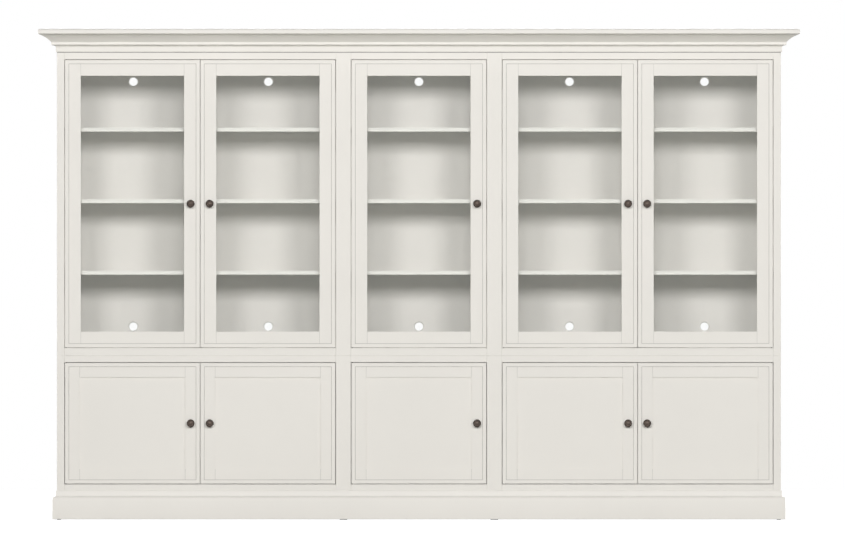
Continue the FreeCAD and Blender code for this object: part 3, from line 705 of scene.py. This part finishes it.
body_low, body_high = [list(corner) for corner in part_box("hutch_face_frames")]
body_high[1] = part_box("hutch_back_panels")[1][1]
crown_low, crown_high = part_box("crown_moulding")
plinth_low, plinth_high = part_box("plinth_moulding")
crown_out = (body_low[1] - crown_low[1]) / MM
crown_up = (crown_high[2] - crown_low[2]) / MM
crown_profile = (
    [(0, 0), (4, 0), (5, 1)] + quirk(5, 18.5) + arc((5, 20.5), (14, 30), 0.2)
    + [(14, 30), (14, 31.5), (12, 31.5), (12, 33), (25, 33), (26, 34), (26, 45), (25, 46.2), (27, 46.2)]
    + arc((27.5, 47), (crown_out - 1, crown_up - 22), 0.06, 14)
    + [(crown_out - 1, crown_up - 22), (crown_out, crown_up - 21)]
    + arc((crown_out, crown_up - 8), (crown_out - 8, crown_up), -0.2, 6)
    + [(crown_out - 8, crown_up), (crown_out - 27, crown_up), (0, 50)]
)
moulding("crown_moulding_run", "crown_moulding", crown_profile, crown_low[2], body_low, body_high)
plinth_out = (body_low[1] - plinth_low[1]) / MM
plinth_up = (plinth_high[2] - plinth_low[2]) / MM
plinth_profile = (
    [(0, 0), (plinth_out - 1, 0), (plinth_out, 1)]
    + arc((plinth_out, 97), (plinth_out - 7, 104), -0.2, 6) + [(plinth_out - 7, 104)]
    + arc((10, 104), (5, 113), 0.12, 6) + [(5, 113), (5, plinth_up - 2.5)]
    + [(4.2, plinth_up - 1), (2.5, plinth_up), (0, plinth_up)]
)
moulding("plinth_moulding_run", "plinth_moulding", plinth_profile, plinth_low[2], body_low, body_high)
print("crown stands out %.0f mm, plinth %.0f mm" % (crown_out, plinth_out))

# %% [markdown]
# Knobs. Each is turned from dark bronze: a foot, a waisted stem and a head with a raised ring and a button
# in its middle. A turned form is a profile carried round an axis, so the whole surface is one outer
# product: radius and height along the profile, times cosine and sine round the turn.

# %% Turned knobs
KNOB_INSET = 43 * MM
KNOB_FOOT = 3 * MM
KNOB_POLE = 0.02
CURVE_STEPS = 4
TURNS = 64
KNOB_PROFILE = (
    (0.0, 0.0), (9.0, 0.0), (9.4, 1.0), (8.6, 2.2), (6.6, 3.6), (6.1, 6.0), (6.1, 10.0), (6.9, 13.5),
    (10.5, 16.4), (15.5, 17.3), (17.7, 18.0), (18.3, 19.4), (18.0, 21.4), (16.6, 23.6), (14.8, 25.6),
    (13.4, 26.6), (12.0, 26.9), (10.6, 26.3), (9.7, 26.2), (8.6, 26.8), (7.0, 27.7), (4.0, 28.3), (0.0, 28.5),
)


def smooth_path(points, steps):
    """Catmull-Rom curve through the points: each span blends its two ends and their neighbours' slopes."""
    points = np.asarray(points, float)
    padded = np.vstack([points[:1], points, points[-1:]])
    share = np.linspace(0, 1, steps, endpoint=False)[None, :, None]
    before, start, end, after = (padded[k:len(padded) - 3 + k, None, :] for k in range(4))
    curve = 0.5 * (2 * start + (end - before) * share
                   + (2 * before - 5 * start + 4 * end - after) * share ** 2
                   + (3 * start - before - 3 * end + after) * share ** 3)
    return np.vstack([curve.reshape(-1, 2), points[-1:]])


def grid_faces(rows, columns):
    """Quads of a grid that closes on itself along its columns."""
    row, column = np.meshgrid(np.arange(rows - 1), np.arange(columns), indexing="ij")
    after = (column + 1) % columns
    corners = (row * columns + column, row * columns + after,
               (row + 1) * columns + after, (row + 1) * columns + column)
    return np.stack(corners, axis=-1).reshape(-1, 4)


def turned(profile, centre):
    """Points and faces of a turned form that looks along -Y: (radius, height) swept round that axis."""
    radius, height = profile[:, 0] * MM, profile[:, 1] * MM
    angle = np.linspace(0, 2 * math.pi, TURNS, endpoint=False)
    x = centre[0] + np.outer(radius, np.cos(angle))
    z = centre[2] + np.outer(radius, np.sin(angle))
    y = centre[1] - np.repeat(height[:, None], TURNS, axis=1)
    return np.stack([x, y, z], axis=-1).reshape(-1, 3), grid_faces(len(profile), TURNS)


knob_curve = smooth_path(KNOB_PROFILE, CURVE_STEPS)
knob_curve[:, 0] = np.maximum(knob_curve[:, 0], KNOB_POLE)
for door in doors:
    edge = door.high[0] - KNOB_INSET if door.hangs_left else door.low[0] + KNOB_INSET
    points, faces = turned(knob_curve, (edge, front + KNOB_FOOT, door.centre[1]))
    mesh = bpy.data.meshes.new(door.body + "_knob")
    mesh.from_pydata(points.tolist(), [], faces.tolist())
    add_piece(door.body + "_knob", mesh, bronze, door.body)
print("knob points:", len(knob_curve) * TURNS)
